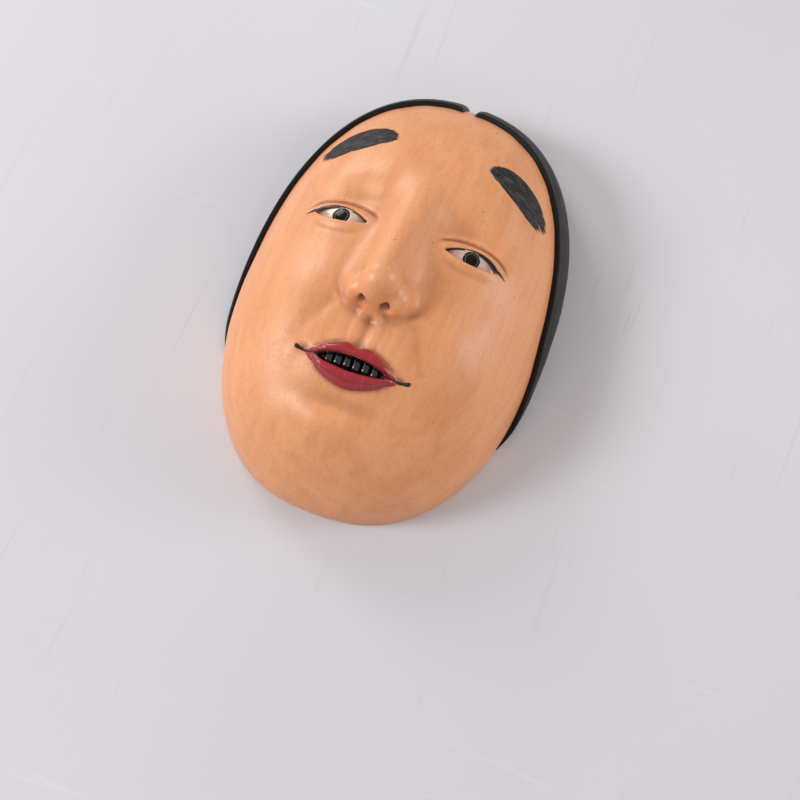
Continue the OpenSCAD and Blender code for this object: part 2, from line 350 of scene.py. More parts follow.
def hand_waves(x, y, z):
    """Slow unevenness that a carver's hand leaves."""
    slow = np.sin(0.9 * x + 0.35 * y + 1.3) * np.sin(0.7 * y - 0.4 * z)
    return 0.030 * slow + 0.015 * np.sin(1.7 * x - 0.9 * y + 0.6 * z)


# Corners of the part of the field that holds the right eye
EYE_BLOCK = ((1.5, -2.5, 6), (12.5, 6.8, 30))


class Field:
    """The right half of the distance field, and the blocks of it that features touch."""

    def __init__(self):
        x, y, z = xs[:, None, None], ys[None, :, None], zs[None, None, :]
        lifted = z - relief(xs[:, None], ys[None, :])[:, :, None] * ramp(z / RELIEF_FADE)
        waves = hand_waves(x, y, z) * ramp((z - 0.3) / 1.5)
        self.d = (dome_distance(x, y, lifted) - waves).astype(np.float32)

    def block(self, low, high):
        """Slices and coordinates of the voxels between two corners."""
        cut = []
        for values, a, b in zip((xs, ys, zs), low, high):
            cut.append(slice(*np.searchsorted(values, (a, b))))
        x = xs[cut[0]][:, None, None]
        y = ys[cut[1]][None, :, None]
        z = zs[cut[2]][None, None, :]
        return tuple(cut), x, y, z

    def bridge_and_nose(self):
        cut, x, y, z = self.block((0, -10, 9), (7, 11, 30))
        tip_z = MASK_DEPTH
        ridge = round_cone(
            x, y, z, (0, EYE_Y + 5.5, 11.4), (0, NOSE_TIP_Y + 1.0, tip_z - 1.5), 1.2, 1.25
        )
        flanks = round_cone(
            x, y, z, (0, EYE_Y + 3.2, 10.6), (0, NOSE_TIP_Y + 0.2, tip_z - 3.5), 1.7, 2.35
        )
        tip = ellipsoid(x, y, z, (0, NOSE_TIP_Y, tip_z - 1.65), (1.55, 1.5, 1.65))
        wing = ellipsoid(x, y, z, (2.1, NOSE_TIP_Y - 0.55, 14.0), (1.1, 1.45, 1.35))
        columella = round_cone(
            x, y, z, (0, NOSE_TIP_Y - 0.6, tip_z - 1.8), (0, NOSE_BASE_Y + 0.2, 13.3), 0.7, 0.8
        )
        nose = smooth_min(smooth_min(ridge, flanks, 1.2), tip, 1.1)
        nose = smooth_min(nose, wing, 0.80)
        nose = smooth_min(nose, columella, 0.4)
        face = self.d[cut]
        blend = mix(0.9, 2.4, ramp((y - NOSE_BASE_Y) / 4))
        self.d[cut] = smooth_min(face, nose, blend)
        nostril = round_cone(
            x, y, z, (1.25, NOSE_BASE_Y - 0.6, 14.1), (0.9, NOSE_TIP_Y - 0.4, 15.1), 0.58, 0.40
        )
        self.d[cut] = smooth_max(self.d[cut], -nostril, 0.22)

    def folds(self):
        cut, x, y, _ = self.block((0, -16, 8), (12, 1, 30))
        cheek_fold = fold(x, y, (3.9, NOSE_BASE_Y + 0.6), (6.6, MOUTH_Y + 1.0), 0.9)
        philtrum = bell(x, 0.5) - 0.55 * bell(np.abs(x) - 1.0, 0.4)
        philtrum = philtrum * ramp((NOSE_BASE_Y + 0.3 - y) / 0.8) * ramp((y - MOUTH_Y - 1.2) / 0.8)
        self.d[cut] += 0.22 * cheek_fold + 0.20 * philtrum

    def eyes(self):
        cut, x, y, z = self.block(*EYE_BLOCK)
        lx, ly, _ = eye_frame.to_local(x, y, z)
        self.d[cut] -= lids(lx, ly)

    def mouth(self):
        cut, x, y, z = self.block((0, MOUTH_Y - 4.5, 8), (8, MOUTH_Y + 4, 30))
        lx, ly, _ = mouth_frame.to_local(x, y, z)
        self.d[cut] -= lips(lx, ly)
        pit = blob(lx, ly, MOUTH_WIDTH / 2 + 0.35, 0.1, 0.60, 0.45)
        swell = blob(lx, ly, MOUTH_WIDTH / 2 + 1.7, -0.1, 1.0, 1.6)
        self.d[cut] += 0.26 * pit - 0.15 * swell

    def cut_openings(self):
        cut, x, y, z = self.block(*EYE_BLOCK)
        lx, ly, lz = eye_frame.to_local(x, y, z)
        almond = lens_distance(lx, ly, EYE_HALF, LID_RISE, LID_FALL)
        opening = np.maximum(almond, -lz - POCKET_DEPTH)
        self.d[cut] = smooth_max(self.d[cut], -opening, 0.10)
        cut, x, y, z = self.block((0, MOUTH_Y - 4.5, 6), (8, MOUTH_Y + 4, 30))
        lx, ly, lz = mouth_frame.to_local(x, y, z)
        across = np.abs(ly) - slot_edge(lx)
        opening = np.maximum(np.maximum(across, lx - SLOT_WIDTH / 2 - 0.1), -lz - POCKET_DEPTH)
        self.d[cut] = smooth_max(self.d[cut], -opening, 0.14)

    def hollow_back(self):
        half_length = DOME_HALF_LENGTH - RIM_WIDTH
        half_width_in = DOME_HALF_WIDTH - RIM_WIDTH
        height = DOME_HEIGHT - FRONT_WALL
        cut, x, y, z = self.block((0, -23, -2), (13.5, 21, 11))
        inner = dome_distance(
            x * DOME_HALF_WIDTH / half_width_in,
            DOME_CENTRE_Y + (y - DOME_CENTRE_Y) * DOME_HALF_LENGTH / half_length,
            z * DOME_HEIGHT / height,
        ) * (height / DOME_HEIGHT)
        inner = inner.astype(np.float32) - gouge_marks(inner, x, y, z)
        self.d[cut] = smooth_max(self.d[cut], -inner, 0.35)
        z_all = zs[None, None, :]
        self.d = smooth_max(self.d, -z_all, 0.22).astype(np.float32)
        cut, x, y, z = self.block((8, BAR_Y - 3, -1), (15, BAR_Y + 3, 6))
        socket = np.maximum(np.hypot(y - BAR_Y, z - BAR_Z) - BAR_RADIUS - 0.02, x - BAR_HALF)
        self.d[cut] = np.maximum(self.d[cut], -socket)


GOUGE_REACH = 1.75
GOUGE_DEPTH = 0.26
GOUGE_COUNT = 420
GOUGE_STRETCH = 1.9


def gouge_marks(inner, x, y, z):
    """Shallow scoops all over the hollow, each as long as one stroke of a gouge."""
    rng = np.random.default_rng(7)
    near = np.abs(inner) < 0.8
    where = np.nonzero(near)
    points = np.stack(
        [x[where[0], 0, 0], y[0, where[1], 0] / GOUGE_STRETCH, z[0, 0, where[2]]], -1
    ).astype(np.float32)
    lat = np.radians(rng.uniform(-85, 85, GOUGE_COUNT))
    arch = np.radians(rng.uniform(2, 178, GOUGE_COUNT))
    seeds = on_dome(lat, arch, 0.0)
    seeds[:, 0] *= np.sign(np.cos(arch)) * (1 - RIM_WIDTH / DOME_HALF_WIDTH)
    seeds[:, 1] = (seeds[:, 1] - DOME_CENTRE_Y) * (1 - RIM_WIDTH / DOME_HALF_LENGTH) + DOME_CENTRE_Y
    seeds[:, 1] /= GOUGE_STRETCH
    seeds[:, 2] *= 1 - FRONT_WALL / DOME_HEIGHT
    nearest = np.full(len(points), 99.0, np.float32)
    for seed in seeds.astype(np.float32):
        nearest = np.minimum(nearest, ((points - seed) ** 2).sum(1))
    marks = np.zeros(inner.shape, np.float32)
    marks[where] = GOUGE_DEPTH * np.maximum(0, 1 - nearest / GOUGE_REACH**2)
    return marks


def sample(volume, points):
    """Trilinear values of the right half's volume at points, mirrored for the left half."""
    p = np.asarray(points, np.float64).copy()
    p[:, 0] = np.abs(p[:, 0])
    index = (p - (xs[0], ys[0], zs[0])) / VOXEL
    index = np.clip(index, 0, np.array(volume.shape) - 1.001)
    base = index.astype(int)
    part = index - base
    value = 0.0
    for corner in np.ndindex(2, 2, 2):
        weight = np.prod(np.where(corner, part, 1 - part), axis=1)
        value = value + weight * volume[tuple((base + corner).T)]
    return value


def front_heights(volume):
    """Height of the frontmost surface in each column of voxels."""
    solid = volume < 0
    top = solid.shape[2] - 1 - np.argmax(solid[:, :, ::-1], axis=2)
    top = np.minimum(top, solid.shape[2] - 2)
    i, j = np.indices(top.shape)
    inside, outside = volume[i, j, top], volume[i, j, top + 1]
    height = zs[top] + VOXEL * inside / np.minimum(inside - outside, -1e-6)
    return np.where(solid.any(2), height, 0.0)


field = Field()
field.bridge_and_nose()
field.folds()
field.eyes()
field.mouth()
heights = front_heights(field.d)
field.cut_openings()
field.hollow_back()


def surface_z(x, y):
    """Height of the carved face, before its openings are cut, at places in plan."""
    u = np.clip((np.abs(x) - xs[0]) / VOXEL, 0, len(xs) - 1.001)
    v = np.clip((np.asarray(y) - ys[0]) / VOXEL, 0, len(ys) - 1.001)
    i, j = u.astype(int), v.astype(int)
    a, b = u - i, v - j
    near = heights[i, j] * (1 - a) + heights[i + 1, j] * a
    far = heights[i, j + 1] * (1 - a) + heights[i + 1, j + 1] * a
    return near * (1 - b) + far * b


# -------- materials
def set_inputs(node, values):
    for name, value in values.items():
        node.inputs[name].default_value = value


class Nodes:
    """A material and short names for the nodes that it is wired from."""

    def __init__(self, name):
        self.material = bpy.data.materials.new(name)
        self.material.use_nodes = True
        self.tree = self.material.node_tree
        self.shader = self.tree.nodes["Principled BSDF"]

    def link(self, source, target):
        self.tree.links.new(source, target)

    def add(self, kind, **properties):
        node = self.tree.nodes.new("ShaderNode" + kind)
        for key, value in properties.items():
            setattr(node, key, value)
        return node

    def place(self, scale):
        """Object coordinates in millimetres, times a scale along each axis."""
        coords = self.add("TexCoord")
        mapping = self.add("Mapping")
        mapping.inputs["Scale"].default_value = [s / MM for s in scale]
        self.link(coords.outputs["Object"], mapping.inputs["Vector"])
        return mapping.outputs["Vector"]

    def flow(self, scale):
        """The piece's own coordinates in millimetres along and across its strokes."""
        attribute = self.add("Attribute", attribute_name="flow")
        mapping = self.add("Mapping")
        mapping.inputs["Scale"].default_value = scale
        self.link(attribute.outputs["Vector"], mapping.inputs["Vector"])
        return mapping.outputs["Vector"]

    def noise(self, vector, detail=4.0, roughness=0.5, distortion=0.0):
        """Noise whose grain size the vector already sets."""
        node = self.add("TexNoise")
        set_inputs(
            node,
            {"Scale": 1.0, "Detail": detail, "Roughness": roughness, "Distortion": distortion},
        )
        self.link(vector, node.inputs["Vector"])
        return node.outputs["Fac"]

    def remap(self, value, low, high, to_low=0.0, to_high=1.0):
        node = self.add("MapRange", clamp=True, interpolation_type="SMOOTHSTEP")
        set_inputs(
            node, {"From Min": low, "From Max": high, "To Min": to_low, "To Max": to_high}
        )
        self.link(value, node.inputs["Value"])
        return node.outputs["Result"]

    def blend(self, factor, first, second):
        """Mixes two colours; each is a colour or another node's output."""
        node = self.add("Mix", data_type="RGBA")
        for socket, value in ((node.inputs[6], first), (node.inputs[7], second)):
            if isinstance(value, tuple):
                socket.default_value = (*value, 1.0)
            else:
                self.link(value, socket)
        self.link(factor, node.inputs[0])
        return node.outputs[2]

    def math(self, operation, first, second):
        node = self.add("Math", operation=operation)
        for socket, value in ((node.inputs[0], first), (node.inputs[1], second)):
            if isinstance(value, (int, float)):
                socket.default_value = value
            else:
                self.link(value, socket)
        return node.outputs[0]

    def bump(self, height, distance, strength=1.0, under=None):
        node = self.add("Bump")
        set_inputs(node, {"Strength": strength, "Distance": distance * MM})
        self.link(height, node.inputs["Height"])
        if under is not None:
            self.link(under, node.inputs["Normal"])
        return node.outputs["Normal"]

    def finish(self, colour, roughness, normal=None, **constants):
        """Wires the shader; constants name its other inputs, with _ for a space."""
        self.link(colour, self.shader.inputs["Base Color"])
        if isinstance(roughness, float):
            self.shader.inputs["Roughness"].default_value = roughness
        else:
            self.link(roughness, self.shader.inputs["Roughness"])
        if normal is not None:
            self.link(normal, self.shader.inputs["Normal"])
        set_inputs(self.shader, {k.replace("_", " "): v for k, v in constants.items()})
        return self.material


def boxwood():
    """Polished boxwood: soft bands, faint grain, fine speckle and rare dark specks, with painted shade
    in its hollows and ink inside the openings.
    """
    n = Nodes("boxwood")
    light, middle, dark = (0.885, 0.400, 0.182), (0.815, 0.342, 0.140), (0.60, 0.218, 0.078)
    bands = n.noise(n.place((0.55, 0.05, 0.55)), detail=3.0, distortion=0.6)
    grain = n.noise(n.place((3.4, 0.16, 3.4)), detail=6.0, roughness=0.62)
    speckle = n.noise(n.place((6.5, 4.0, 6.5)), detail=5.0, roughness=0.7)
    blush = n.noise(n.place((1.1, 0.7, 1.1)), detail=3.0)
    specks = n.noise(n.place((2.3, 1.3, 2.3)), detail=1.5)
    pores = n.noise(n.place((13.0, 1.3, 13.0)), detail=1.0)
    colour = n.blend(n.remap(bands, 0.35, 0.68), light, middle)
    colour = n.blend(n.remap(blush, 0.40, 0.72, 0.0, 0.35), colour, (0.90, 0.360, 0.185))
    colour = n.blend(n.remap(grain, 0.46, 0.78, 0.0, 0.32), colour, dark)
    colour = n.blend(n.remap(speckle, 0.46, 0.70, 0.0, 0.34), colour, dark)
    colour = n.blend(n.remap(pores, 0.66, 0.80, 0.0, 0.40), colour, (0.30, 0.11, 0.045))
    colour = n.blend(n.remap(specks, 0.765, 0.80, 0.0, 0.75), colour, (0.16, 0.06, 0.03))
    # Painted shade: the cavity attribute darkens the wood in creases and hollows; inside the openings
    # it stands for their inked walls.
    cavity = n.add("Attribute", attribute_name="cavity").outputs["Fac"]
    colour = n.blend(n.math("MULTIPLY", cavity, 0.72), colour, (0.24, 0.060, 0.025))
    rough = n.remap(speckle, 0.35, 0.70, 0.34, 0.50)
    normal = n.bump(pores, 0.02, 0.5)
    normal = n.bump(grain, 0.03, 0.35, under=normal)
    normal = n.bump(speckle, 0.018, 0.6, under=normal)
    return n.finish(
        colour,
        rough,
        normal,
        Subsurface_Weight=0.08,
        Subsurface_Radius=(1.0, 0.4, 0.2),
        Subsurface_Scale=0.6 * MM,
        Coat_Weight=0.12,
        Coat_Roughness=0.30,
    )


def hair_ink():
    """Black ink on scored hair: fine pale and brown streaks, with painted shade that deepens it
    towards the front edge.
    """
    n = Nodes("hair_ink")
    flow = n.flow((0.16, 5.0, 1.0))
    streaks = n.noise(flow, detail=6.0, roughness=0.7)
    fine = n.noise(n.flow((0.30, 13.0, 1.0)), detail=3.0)
    black, brown, grey = (0.006, 0.005, 0.005), (0.060, 0.036, 0.027), (0.125, 0.108, 0.100)
    colour = n.blend(n.remap(streaks, 0.46, 0.74, 0.0, 0.8), black, brown)
    colour = n.blend(n.remap(fine, 0.56, 0.74, 0.0, 0.75), colour, grey)
    away = n.add("SeparateXYZ")
    n.link(n.flow((1.0, 1.0, 1.0)), away.inputs["Vector"])
    # Painted shade: near black towards the hair's front edge, where shade falls.
    front = n.remap(away.outputs["Y"], 0.10, 0.75, 1.0, 0.0)
    colour = n.blend(front, colour, (0.004, 0.003, 0.003))
    rough = n.remap(fine, 0.35, 0.70, 0.62, 0.36)
    normal = n.bump(fine, 0.04, 0.8)
    return n.finish(colour, rough, normal, Specular_IOR_Level=0.30)


def brush_ink():
    """Charcoal ink rubbed on wood: soft grey mottling over black."""
    n = Nodes("brush_ink")
    strokes = n.noise(n.flow((0.7, 2.6, 1.0)), detail=5.0, roughness=0.65)
    mottle = n.noise(n.place((3.4, 3.4, 3.4)), detail=5.0, roughness=0.7)
    black, grey, brown = (0.008, 0.006, 0.006), (0.105, 0.088, 0.090), (0.110, 0.052, 0.030)
    colour = n.blend(n.remap(strokes, 0.42, 0.72, 0.0, 0.85), black, grey)
    colour = n.blend(n.remap(mottle, 0.50, 0.72, 0.0, 0.7), colour, grey)
    colour = n.blend(n.remap(mottle, 0.66, 0.80, 0.0, 0.6), colour, brown)
    rough = n.remap(strokes, 0.3, 0.8, 0.50, 0.68)
    return n.finish(colour, rough, n.bump(mottle, 0.03, 0.6), Specular_IOR_Level=0.35)


def liner_ink(name, roughness):
    """Black ink drawn with the point of a brush."""
    n = Nodes(name)
    wear = n.noise(n.place((5.0, 5.0, 5.0)), detail=4.0)
    colour = n.blend(n.remap(wear, 0.50, 0.75), (0.005, 0.004, 0.004), (0.030, 0.022, 0.018))
    rough = n.remap(wear, 0.3, 0.8, roughness, roughness + 0.19)
    return n.finish(colour, rough, n.bump(wear, 0.03, 0.5))


def red_lacquer():
    """Brushed red lacquer, with paler pink streaks along the strokes as painted highlights."""
    n = Nodes("red_lacquer")
    strokes = n.noise(n.flow((0.55, 5.0, 1.0)), detail=4.0, roughness=0.6, distortion=0.4)
    # Painted highlight: paler pink streaks along the brush strokes.
    colour = n.blend(n.remap(strokes, 0.50, 0.76, 0.0, 0.50), (0.36, 0.012, 0.022), (0.62, 0.11, 0.13))
    normal = n.bump(strokes, 0.04, 0.7)
    return n.finish(colour, 0.30, normal, Coat_Weight=0.5, Coat_Roughness=0.12)


def black_lacquer():
    """Deep glossy black."""
    n = Nodes("black_lacquer")
    wear = n.noise(n.place((1.4, 1.4, 1.4)), detail=4.0)
    colour = n.blend(n.remap(wear, 0.45, 0.75), (0.008, 0.007, 0.008), (0.022, 0.018, 0.018))
    rough = n.remap(wear, 0.3, 0.8, 0.14, 0.28)
    normal = n.bump(wear, 0.04, 0.4)
    return n.finish(colour, rough, normal, Coat_Weight=1.0, Coat_Roughness=0.06)


def bone():
    """Polished bone, with painted shade making it pinker and darker towards the corners of the eye."""
    n = Nodes("bone")
    grain = n.noise(n.place((4.0, 1.2, 4.0)), detail=4.0)
    colour = n.blend(n.remap(grain, 0.4, 0.7), (0.66, 0.47, 0.38), (0.55, 0.35, 0.27))
    # Painted shade towards the corners of the eye, under the lids.
    cavity = n.add("Attribute", attribute_name="cavity").outputs["Fac"]
    colour = n.blend(cavity, colour, (0.26, 0.085, 0.055))
    return n.finish(colour, 0.22, Coat_Weight=0.6, Coat_Roughness=0.05)


def iris_horn():
    """Dark horn with a thin pale ring painted as the highlight of its rim; ring holds the distance
    from its middle.
    """
    n = Nodes("iris_horn")
    radius = n.add("Attribute", attribute_name="ring").outputs["Fac"]
    inner = n.remap(radius, 0.60, 0.63)
    outer = n.remap(radius, 0.66, 0.69, 1.0, 0.0)
    ring = n.math("MULTIPLY", inner, outer)
    haze = n.noise(n.place((5.0, 5.0, 5.0)), detail=3.0)
    base = n.blend(n.remap(haze, 0.4, 0.7), (0.006, 0.005, 0.005), (0.018, 0.012, 0.010))
    # Painted highlight: the pale ring round the iris.
    colour = n.blend(n.math("MULTIPLY", ring, 0.40), base, (0.42, 0.36, 0.30))
    return n.finish(colour, 0.10, Specular_IOR_Level=0.16)


def pale_floor():
    """Pale grey board with faint scratches."""
    n = Nodes("pale_floor")
    cloud = n.noise(n.place((0.012, 0.012, 0.012)), detail=3.0)
    scratch = n.noise(n.place((0.9, 0.035, 1.0)), detail=2.0, distortion=1.2)
    other = n.noise(n.place((0.03, 0.7, 1.0)), detail=2.0, distortion=1.5)
    colour = n.blend(n.remap(cloud, 0.3, 0.7), (0.735, 0.725, 0.760), (0.685, 0.675, 0.710))
    colour = n.blend(n.remap(scratch, 0.66, 0.76, 0.0, 0.22), colour, (0.52, 0.50, 0.53))
    colour = n.blend(n.remap(other, 0.68, 0.76, 0.0, 0.24), colour, (0.84, 0.83, 0.86))
    return n.finish(colour, 0.55, n.bump(scratch, 0.03, 0.3))


WOOD = boxwood()
HAIR_INK = hair_ink()
BRUSH_INK = brush_ink()
LINER_INK = liner_ink("liner_ink", 0.26)
RED = red_lacquer()
BLACK = black_lacquer()
CORNER_INK = liner_ink("corner_ink", 0.50)
BONE = bone()
HORN = iris_horn()


# -------- meshes
def make_piece(name, points, faces, material, node, slot, **attributes):
    """A mesh piece in metres that stands for a CAD node; attributes hold a value a vertex."""
    mesh = bpy.data.meshes.new(name)
    mesh.from_pydata((np.asarray(points, float) * MM).tolist(), [], faces)
    mesh.validate()
    mesh.materials.append(material)
    for key, values in attributes.items():
        values = np.asarray(values, np.float32)
        kind = "FLOAT_VECTOR" if values.ndim == 2 else "FLOAT"
        layer = mesh.attributes.new(key, kind, "POINT")
        layer.data.foreach_set("vector" if values.ndim == 2 else "value", values.ravel())
    mesh.polygons.foreach_set("use_smooth", np.ones(len(mesh.polygons), bool))
    piece = bpy.data.objects.new(name, mesh)
    bpy.context.scene.collection.objects.link(piece)
    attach(piece, "root")
    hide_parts(node)
    return piece


def turn_outwards(points, faces):
    """Flips the faces if they enclose a negative volume."""
    p = np.asarray(points, float)
    volume = 0.0
    for f in faces:
        for k in range(1, len(f) - 1):
            volume += p[f[0]].dot(np.cross(p[f[k]], p[f[k + 1]]))
    return [tuple(reversed(f)) for f in faces] if volume < 0 else faces


def grid_quads(rows, columns, first=0):
    i, j = np.meshgrid(np.arange(rows - 1), np.arange(columns - 1), indexing="ij")
    a = first + i * columns + j
    return np.stack([a, a + 1, a + columns + 1, a + columns], -1).reshape(-1, 4)


def closed_skin(outer, inner):
    """Points and faces of a closed skin between two grids of the same shape."""
    rows, columns = outer.shape[:2]
    count = rows * columns
    top = grid_quads(rows, columns)
    bottom = grid_quads(rows, columns, count)[:, ::-1]
    rim = list(range(columns))
    rim += [r * columns + columns - 1 for r in range(1, rows)]
    rim += [(rows - 1) * columns + c for c in range(columns - 2, -1, -1)]
    rim += [r * columns for r in range(rows - 2, 0, -1)]
    walls = [(b, a, a + count, b + count) for a, b in zip(rim, rim[1:] + rim[:1])]
    points = np.concatenate([outer.reshape(-1, 3), inner.reshape(-1, 3)])
    faces = [tuple(f) for f in np.concatenate([top, bottom])] + walls
    return points, turn_outwards(points, faces)


def film(plan, thickness, sink=0.12):
    """A film on the carved face over a grid of places in plan."""
    x, y = plan[..., 0], plan[..., 1]
    z = surface_z(x, y)
    outer = np.stack([x, y, z + thickness], -1)
    inner = np.stack([x, y, z - sink], -1)
    return closed_skin(outer, inner)


def stroke_flow(lengthwise, crosswise):
    """The flow attribute of a film's outer and inner points, from grids of places."""
    flow = np.stack(np.broadcast_arrays(lengthwise, crosswise, 0.0), -1).reshape(-1, 3)
    return np.concatenate([flow, flow])


def mirrored(points, faces, side):
    if side > 0:
        return points, faces
    return points * (-1, 1, 1), [tuple(reversed(f)) for f in faces]


def merge(parts):
    """Joins (points, faces) pairs into one."""
    points, faces, first = [], [], 0
    for p, f in parts:
        points.append(p)
        faces += [tuple(int(i) + first for i in face) for face in f]
        first += len(p)
    return np.concatenate(points), faces


def tube_faces(rings, spokes):
    """Faces of a closed tube whose rings run along its axis, with a flat cap at each end."""
    faces = []
    for r in range(rings - 1):
        near, far = r * spokes, (r + 1) * spokes
        for c in range(spokes):
            d = (c + 1) % spokes
            faces.append((near + c, near + d, far + d, far + c))
    faces.append(tuple(range(spokes - 1, -1, -1)))
    faces.append(tuple((rings - 1) * spokes + c for c in range(spokes)))
    return faces


def thin_out(piece, most):
    """Collapses edges where the mesh is finer than it needs to be."""
    triangles = sum(len(p.vertices) - 2 for p in piece.data.polygons)
    if triangles <= most:
        return
    modifier = piece.modifiers.new("thin_out", "DECIMATE")
    modifier.ratio = most / triangles
    with bpy.context.temp_override(object=piece, active_object=piece):
        bpy.ops.object.modifier_apply(modifier=modifier.name)


HOLLOW_SHADE_REACH = 0.45


def hollow_shade_and_ink(points):
    """Darkening from 0 to 1: painted shade by how hollow the carving is, and full inside the openings,
    whose walls are inked.
    """
    around = sum(
        sample(field.d, points + s * HOLLOW_SHADE_REACH * axis) for axis in np.eye(3) for s in (-1, 1)
    )
    curve = (around - 6 * sample(field.d, points)) / HOLLOW_SHADE_REACH**2
    # painted shade: darker where the carving curves inwards, in its creases and hollows
    cavity = np.clip(-curve / 2.2, 0, 1)
    folded = (np.abs(points[:, 0]), points[:, 1], points[:, 2])
    lx, ly, lz = eye_frame.to_local(*folded)
    inside_eye = (lens_distance(lx, ly, EYE_HALF, LID_RISE, LID_FALL) < 0.03) & (lz < 0.3)
    inside_eye &= lz > -POCKET_DEPTH - 0.1
    lx, ly, lz = mouth_frame.to_local(*folded)
    inside_mouth = (np.abs(ly) < slot_edge(lx) + 0.03) & (lx < SLOT_WIDTH / 2 + 0.15) & (lz > -2)
    # full darkening inside the openings, for the ink on their walls
    return np.where(inside_eye | inside_mouth, 1.0, cavity)


def mask_body():
    """The carved wood: both halves of the field, as one surface."""
    full = np.concatenate([field.d[:0:-1], field.d])
    grid = openvdb.FloatGrid(3 * VOXEL)
    grid.copyFromArray(np.clip(full, -3 * VOXEL, 3 * VOXEL).astype(np.float32))
    points, quads = grid.convertToQuads(isovalue=0.0)
    origin = np.array([-xs[-1], ys[0], zs[0]])
    points = points.astype(float) * VOXEL + origin
    cavity = hollow_shade_and_ink(points)
    corners = [points[quads[:, k]] for k in range(3)]
    if np.einsum("ij,ij->", corners[0], np.cross(corners[1], corners[2])) < 0:
        quads = quads[:, ::-1]
    faces = quads.tolist()
    piece = make_piece("carved_body", points, faces, WOOD, "mask_body", "boxwood", cavity=cavity)
    thin_out(piece, TRIANGLES_MOST)


# -------- hair
HAIR_ROWS = 420
HAIR_COLUMNS = 110
EDGE_ROUNDING = 0.12
TAIL_LENGTH = 4.0
TAIL_TIP = math.radians(0.5)
TAIL_ANGLE = math.radians(13)
TAPER_SPAN = 30.0
SHOULDER = 0.9
NOISE_KNOTS = 4096


def hairline_x(y):
    t = (y - HAIR_EDGE_Y) / (HAIRLINE_Y - HAIR_EDGE_Y)
    return np.maximum(PARTING_HALF, HAIR_EDGE_HALF_WIDTH * bow(t, DOME_POWER))


def hair_arch(lat, share):
    y = latitude_y(lat)
    low = np.arcsin(np.minimum(0.9, HAIR_FOOT / np.maximum(arch_height(y), 1e-6)))
    front = bow(hairline_x(y) / np.maximum(half_width(y), 1e-6), DOME_POWER)
    taper = ramp((np.degrees(lat) - JAW_LATITUDE) / TAPER_SPAN)
    wide = np.maximum(np.arcsin(front) - low, TAIL_ANGLE)
    return low + share * mix(TAIL_TIP, wide, taper)


def value_noise(x, seed):
    """Smooth random values along a line, one knot a unit."""
    knots = np.random.default_rng(seed).uniform(-1, 1, NOISE_KNOTS)
    base = np.floor(x).astype(int)
    part = ramp(x - base)
    return mix(knots[base % NOISE_KNOTS], knots[(base + 1) % NOISE_KNOTS], part)


def strand_relief(along_mm, across_mm, seed):
    """Height of the strands that the carver scored along the hair."""
    drift = 0.25 * value_noise(along_mm / 5, seed + 1) + 0.08 * value_noise(along_mm / 1.7, seed + 2)
    place = across_mm + drift
    height = 0.5 * value_noise(place / 0.34, seed + 3)
    fine = place / 0.15 + 0.4 * value_noise(along_mm / 3, seed + 4)
    return height + 0.35 * value_noise(fine, seed + 5)


def run_along(points):
    """Distance run along a line of points."""
    return np.concatenate([[0], np.cumsum(np.linalg.norm(np.diff(points, axis=0), axis=1))])


def combed(points):
    """Distance along and away from the front hairline, nearest to each point."""
    top = math.asin((HAIRLINE_Y - DOME_CENTRE_Y - 0.02) / DOME_HALF_LENGTH)
    lat = np.linspace(math.radians(JAW_LATITUDE), top, 500)
    front = on_dome(lat, hair_arch(lat, 1.0), HAIR_RELIEF)
    run = run_along(front)
    away = np.full(points.shape[:-1], 99.0)
    place = np.zeros(points.shape[:-1])
    for station, spot in zip(run, front):
        gap = np.linalg.norm(points - spot, axis=-1)
        place = np.where(gap < away, station, place)
        away = np.minimum(gap, away)
    return place, away


def hair(side_name, side):
    """A raised lock with a crisp rounded edge, its strands parallel to the hairline."""
    lat = np.radians(np.linspace(JAW_LATITUDE, CROWN_LATITUDE, 2000))
    run = run_along(on_dome(lat, hair_arch(lat, 0.6), HAIR_RELIEF))
    lat = np.interp(np.linspace(0, run[-1], HAIR_ROWS), run, lat)[:, None]
    share = np.linspace(0, 1, HAIR_COLUMNS)[None, :]
    share = mix(share, 0.5 - 0.5 * np.cos(np.pi * share), 0.4)
    arch = hair_arch(lat, share)
    skin = on_dome(lat, arch, HAIR_RELIEF)
    across = np.linalg.norm(np.diff(skin, axis=1, prepend=skin[:, :1]), axis=2).cumsum(1)
    down_band = np.linalg.norm(np.diff(skin, axis=0, prepend=skin[:1]), axis=2).cumsum(0)
    edge = np.minimum(across, across[:, -1:] - across)
    edge = np.minimum(edge, np.minimum(down_band, down_band[-1:] - down_band))
    rounding = np.sqrt(1 - np.clip(1 - edge / EDGE_ROUNDING, 0, 1) ** 2)
    place, away = combed(skin)
    strands = strand_relief(place, away, 20 if side > 0 else 60)
    height = HAIR_RELIEF * mix(0.5, 1.0, rounding) - 0.045 * (1 - strands) * rounding
    height = mix(0.08, height, ramp(down_band / TAIL_LENGTH) ** 0.5)
    shoulder = np.clip((skin[..., 0] - PARTING_HALF) / SHOULDER, 0, 1)
    height = height * mix(0.25, 1.0, np.sqrt(1 - (1 - shoulder) ** 2))
    inner = on_dome(lat, arch, -0.25)
    points, faces = mirrored(*closed_skin(on_dome(lat, arch, height), inner), side)
    name, node = f"hair_carved_{side_name}", f"hair_{side_name}"
    flow = stroke_flow(place, away)
    make_piece(name, points, faces, HAIR_INK, node, "black_ink", flow=flow)


# -------- brows
BROW_INNER = np.array([4.8, BROW_Y + 1.4])
BROW_OUTER = np.array([11.6, BROW_Y - 2.4])
BROW_ACROSS = np.array([0.49, 0.87])
BROW_HALF = 1.35
BRISTLES = 44


